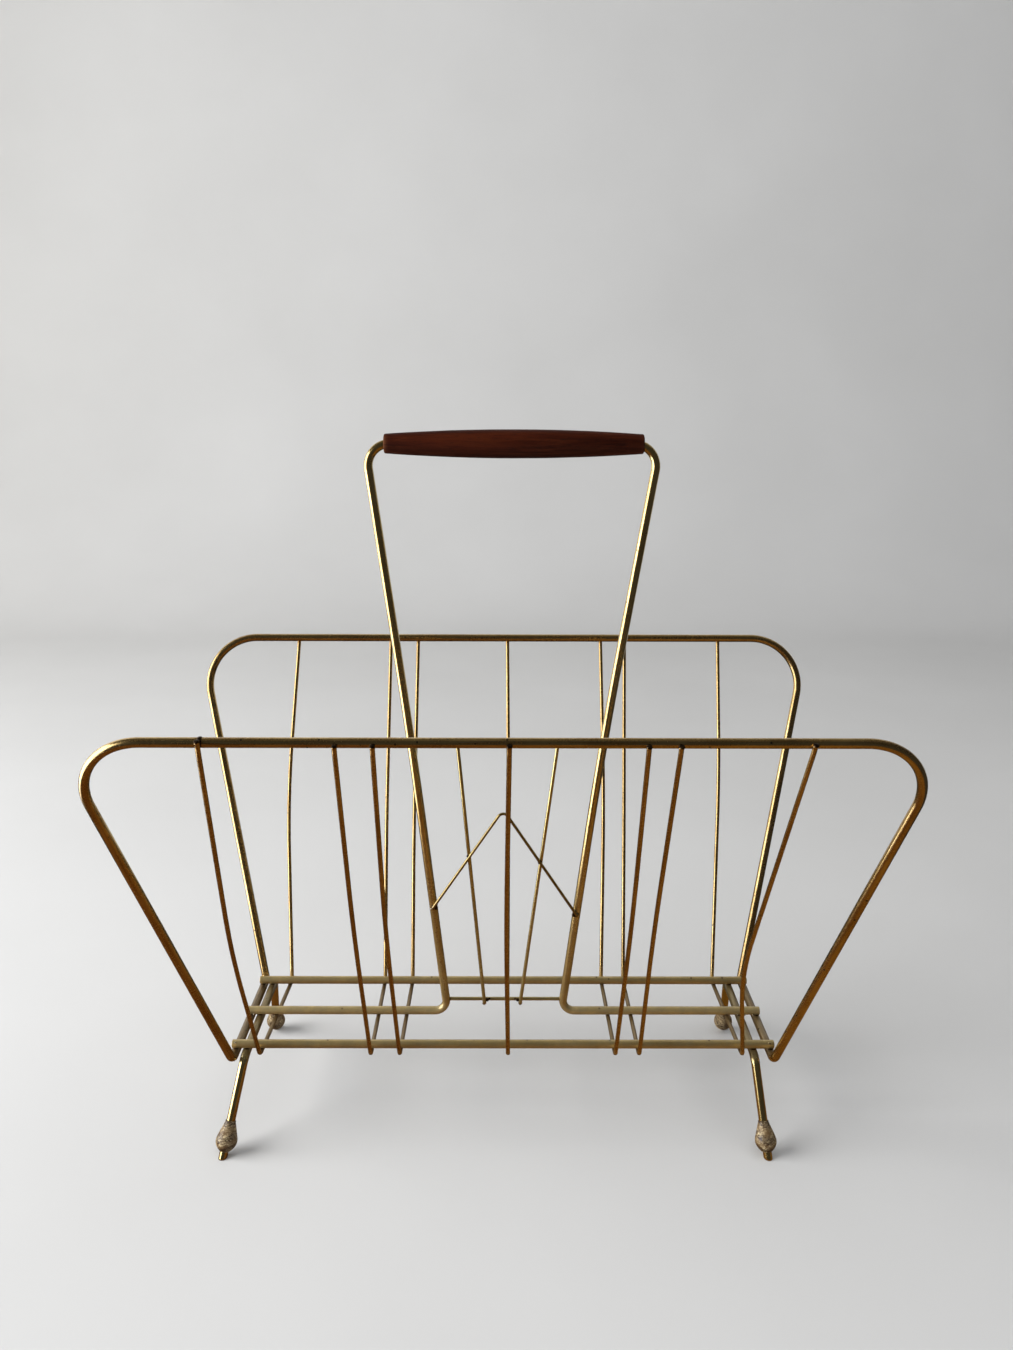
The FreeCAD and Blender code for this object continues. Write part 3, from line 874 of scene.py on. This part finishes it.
def foot_wood():
    m = Look("foot_worn_wood")
    rod = m.attr("rod", True)
    wear = m.attr("cut")
    obj = m.coords.outputs["Object"]
    # growth rings cut by the turned shape, then turning lines and scuffs; the pale streaks are partly worn finish,
    # partly a painted sheen
    shift = m.noise(m.times(rod, (0.25, 0.25, 0.10)), 1.0, 3.0, 0.5)
    w = m.nt.nodes.new("ShaderNodeTexWave")
    w.wave_type = "RINGS"
    w.rings_direction = "Y"
    w.inputs["Scale"].default_value = 0.075
    w.inputs["Distortion"].default_value = 5.0
    w.inputs["Detail"].default_value = 3.0
    w.inputs["Detail Scale"].default_value = 0.7
    m.nt.links.new(m.times(rod, (1.0, 0.55, 0.62)), w.inputs["Vector"])
    rings = w.outputs["Fac"]
    lines = m.noise(m.times(rod, (0.25, 0.25, 1.0)), 2.1, 4.0, 0.6, 1.0)
    scuff_and_sheen = m.noise(m.times(rod, (0.6, 0.6, 0.9)), 0.75, 5.0, 0.65, 1.0)
    base = m.ramp(rings, [(0.15, (0.030, 0.013, 0.005)), (0.45, (0.066, 0.033, 0.012)), (0.85, (0.128, 0.074, 0.028))])
    # pale streaks: worn finish, and a painted sheen
    pale = m.ramp(lines, [(0.43, (0.13, 0.080, 0.034)), (0.57, (0.64, 0.51, 0.29))])
    k = m.math("MULTIPLY", m.ramp(scuff_and_sheen, [(0.42, 0.0), (0.55, 1.0)]), m.math("MULTIPLY_ADD", wear, 0.80, 0.18), clamp=True)
    colour = m.mix(k, base, pale)
    dark = m.ramp(m.noise(m.times(rod, (0.9, 0.9, 1.3)), 1.1, 4.0, 0.6), [(0.58, 0.0), (0.70, 1.0)])
    colour = m.mix(m.math("MULTIPLY", dark, 0.8), colour, (0.045, 0.018, 0.009))
    m.put("Base Color", colour)
    rough = m.math("MULTIPLY_ADD", k, 0.22, 0.30)
    rough = m.math("MULTIPLY_ADD", rings, 0.12, rough, clamp=True)
    m.put("Roughness", rough)
    n = m.bump(lines, 0.00004, 0.4)
    n = m.bump(rings, 0.00008, 0.4, n)
    n = m.bump(scuff_and_sheen, 0.00016, 0.5, n)
    m.put("Normal", n)
    return m.mat


LOOKS = {
    "hoop": brass("brass_hoop_aged", age=0.34, dull=0.03, streaks=0.40, blotch=0.24, heat=0.9, pits=0.9, warm=0.95, grime=0.20),
    "string": brass("brass_string_aged", age=0.34, dull=0.05, streaks=0.25, blotch=0.20, heat=0.80, pits=0.5, warm=0.95),
    "floor": brass("brass_floor_dull", age=0.28, dull=0.17, streaks=0.22, blotch=0.20, pits=0.7, warm=1.0, grime=0.45),
    "leg": brass("brass_leg_bright", age=0.20, dull=0.02, streaks=0.20, blotch=0.18, pits=0.4, warm=1.05, grime=0.1),
    # handle: the pale veil on its legs' low part is dusty wear with a painted pale reflection
    "handle": brass("brass_handle_handled", age=0.26, dull=0.02, streaks=0.26, blotch=0.20, pits=0.5, warm=1.0, pale_low_dust_and_reflection=1.0),
    "chevron": brass("brass_chevron_tarnished", age=0.50, dull=0.03, streaks=0.30, blotch=0.24, heat=1.2, pits=0.4, warm=1.15, grime=0.35),
    # divider: its pale veil lightens the uprights, dusty wear with a painted highlight
    "divider": brass("brass_divider_pale", age=0.22, dull=0.05, streaks=0.22, blotch=0.18, heat=1.1, pits=0.4, warm=1.08, grime=0.30, pale_low_dust_and_reflection=0.8),
}
WELD, DROP = weld_metal("weld_oxidised"), weld_metal("weld_spatter_bright", True)


def paint(obj, mat):
    obj.data.materials.clear()
    obj.data.materials.append(mat)


for node, obj in made.items():
    key = ("hoop" if "hoop" in node else "string" if "string" in node else "floor" if "floor_rail" in node
           else "chevron" if "chevron" in node else "leg" if "leg_rod" in node else "handle" if node == "handle_rod" else "divider" if "divider" in node else None)
    if key:
        paint(obj, LOOKS[key])
for w in weld_objs:
    paint(w, WELD)
paint(drops, DROP)
paint(tip_drops, weld_metal("weld_tip_bright", True))
paint(grip, grip_wood())
foot_mat = foot_wood()
for f in feet:
    paint(f, foot_mat)

# =====================================================================
# Stage, light and camera
# =====================================================================
def sheet_of(name, prof, half, mat):
    co, faces = [], []
    for y, z in prof:
        co += [(-half, y, z), (half, y, z)]
    for i in range(len(prof) - 1):
        faces.append((2 * i, 2 * i + 1, 2 * i + 3, 2 * i + 2))
    me = bpy.data.meshes.new(name)
    me.from_pydata(co, [], faces)
    me.polygons.foreach_set("use_smooth", [True] * len(me.polygons))
    o = bpy.data.objects.new(name, me)
    scene.collection.objects.link(o)
    paint(o, mat)
    return o


def matt(name, low, high, scale=3.0, sheen_rise=None):
    """The last argument sets how much lighter it is right of the middle: a painted sheen of window light."""
    m = Look(name)
    soft = m.noise(m.coords.outputs["Object"], scale, 3.0, 0.5)
    colour = m.ramp(soft, [(0.3, low), (0.7, high)])
    if sheen_rise:
        xyz = m.nt.nodes.new("ShaderNodeSeparateXYZ")
        m.nt.links.new(m.coords.outputs["Object"], xyz.inputs[0])
        # painted sheen: right of the middle the card is lighter
        lighter = m.ramp(soft, [(0.3, tuple(r * c for r, c in zip(sheen_rise, low))), (0.7, tuple(r * c for r, c in zip(sheen_rise, high)))])
        colour = m.mix(m.steps(xyz.outputs[0], -0.05, 0.12), colour, lighter)
    m.put("Base Color", colour)
    m.put("Roughness", 0.9)
    m.bsdf.inputs["Specular IOR Level"].default_value = 0.1
    return m.mat


def glow(name, colour, strength):
    m = Look(name)
    m.put("Base Color", (0.0, 0.0, 0.0, 1.0))
    m.put("Emission Color", m.ramp(m.noise(m.coords.outputs["Object"], 1.2, 2.0), [(0.3, tuple(0.9 * c for c in colour)), (0.7, colour)]))
    m.put("Emission Strength", strength)
    m.bsdf.inputs["Specular IOR Level"].default_value = 0.0
    return m.mat


# the pale floor, curved up to a backdrop
prof = [(-4.5, 0.0), (-1.6, 0.0), (-0.6, 0.0), (0.2, 0.0), (1.35, 0.0)]
for k in range(1, 25):
    a = math.pi / 2 * k / 24
    prof.append((1.35 + 0.6 * math.sin(a), 0.6 - 0.6 * math.cos(a)))
prof += [(1.95, 1.4), (1.95, 3.4)]
floor = sheet_of("studio_floor", prof, 4.5, matt("studio_floor_pale", (0.58, 0.575, 0.56), (0.61, 0.605, 0.59)))
floor.visible_glossy = False

# Reflector cards.  Only reflections see them: a brown one on the floor, the tone of a wooden table top, with a painted
# sheen of window light right of the middle; a grey one behind, the tone of a plain wall; and a dim glowing one
# overhead, seen in reflections as a lit ceiling.
table = sheet_of("card_table_tone", [(-0.62, 0.0002), (0.11, 0.0002)], 0.40,
                 matt("card_table_tone", (0.105, 0.047, 0.012), (0.135, 0.062, 0.017), 6.0, (1.6, 1.8, 1.5)))
wall = sheet_of("card_wall_tone", [(0.62, 0.0), (0.62, 1.5)], 1.6, matt("card_wall_tone", (0.50, 0.50, 0.48), (0.54, 0.54, 0.52)))
ceiling = sheet_of("card_ceiling_tone", [(-1.2, 2.6), (2.0, 2.6)], 2.6, glow("card_ceiling_tone", (0.80, 0.76, 0.66), 0.16))
for card in (table, wall, ceiling):
    card.visible_camera = False
    card.visible_diffuse = False
    card.visible_shadow = False
    card.visible_transmission = False


def area(name, place, aim, sx, sy, watts, colour, spread=180.0):
    d = bpy.data.lights.new(name, "AREA")
    d.shape = "RECTANGLE"
    d.size, d.size_y = sx, sy
    d.energy = watts
    d.color = colour
    d.spread = math.radians(spread)
    o = bpy.data.objects.new(name, d)
    scene.collection.objects.link(o)
    o.location = place
    o.rotation_mode = "QUATERNION"
    o.rotation_quaternion = (Vector(aim) - Vector(place)).to_track_quat("-Z", "Y")
    o.visible_camera = False
    return o


# A tall window to the left, seen in the brass, and the soft light that comes with it
area("key_window", (-1.60, -0.47, 0.20), (0.0, -0.47, 0.20), 1.65, 2.00, 47.0, (0.93, 0.97, 1.06))
soft = area("key_soft", (-2.20, -0.40, 1.30), (0.0, 0.05, 0.15), 1.8, 1.8, 72.0, (1.0, 0.99, 0.97))
soft.visible_glossy = False
fill = area("fill_overhead", (0.6, -0.6, 2.8), (0.1, 0.2, 0.0), 3.0, 3.0, 26.0, (0.97, 0.98, 1.0))
fill.visible_glossy = False

world = bpy.data.worlds.new("studio")
scene.world = world
world.use_nodes = True
wt = world.node_tree
bg = wt.nodes["Background"]
bg.inputs[0].default_value = (0.85, 0.83, 0.80, 1.0)
bg.inputs[1].default_value = 0.055
seen = wt.nodes.new("ShaderNodeBackground")
seen.inputs[0].default_value = (0.60, 0.59, 0.57, 1.0)
seen.inputs[1].default_value = 0.9
path = wt.nodes.new("ShaderNodeLightPath")
# a soft room light for everything but the reflections, which see a dim room
room = wt.nodes.new("ShaderNodeBackground")
room.inputs[0].default_value = (0.93, 0.95, 1.0, 1.0)
room.inputs[1].default_value = 0.26
lit = wt.nodes.new("ShaderNodeMixShader")
wt.links.new(path.outputs["Is Glossy Ray"], lit.inputs[0])
wt.links.new(room.outputs[0], lit.inputs[1])
wt.links.new(bg.outputs[0], lit.inputs[2])
both = wt.nodes.new("ShaderNodeMixShader")
wt.links.new(path.outputs["Is Camera Ray"], both.inputs[0])
wt.links.new(lit.outputs[0], both.inputs[1])
wt.links.new(seen.outputs[0], both.inputs[2])
wt.links.new(both.outputs[0], wt.nodes["World Output"].inputs[0])

# Camera at the viewing angle of the picture
YAW, PITCH, ROLL = math.radians(0.12), math.radians(-14.17), math.radians(0.13)
fwd = Vector((math.sin(YAW) * math.cos(PITCH), math.cos(YAW) * math.cos(PITCH), math.sin(PITCH)))
right = Vector((math.cos(YAW), -math.sin(YAW), 0.0))
up = right.cross(fwd)
R = right * math.cos(ROLL) + up * math.sin(ROLL)
U = -right * math.sin(ROLL) + up * math.cos(ROLL)
cam_data = bpy.data.cameras.new("camera")
cam_data.sensor_fit = "VERTICAL"
cam_data.sensor_height = 36.0
cam_data.sensor_width = 36.0
cam_data.lens = 36.0 * 1014.0 / 1350.0
cam_data.clip_start, cam_data.clip_end = 0.01, 50.0
cam = bpy.data.objects.new("camera", cam_data)
scene.collection.objects.link(cam)
cam.matrix_world = Matrix(((R.x, U.x, -fwd.x, 0.35 * MM), (R.y, U.y, -fwd.y, -563.43 * MM),
                           (R.z, U.z, -fwd.z, 413.28 * MM), (0, 0, 0, 1)))
scene.camera = cam
scene.view_settings.view_transform = "Standard"
scene.view_settings.look = "None"
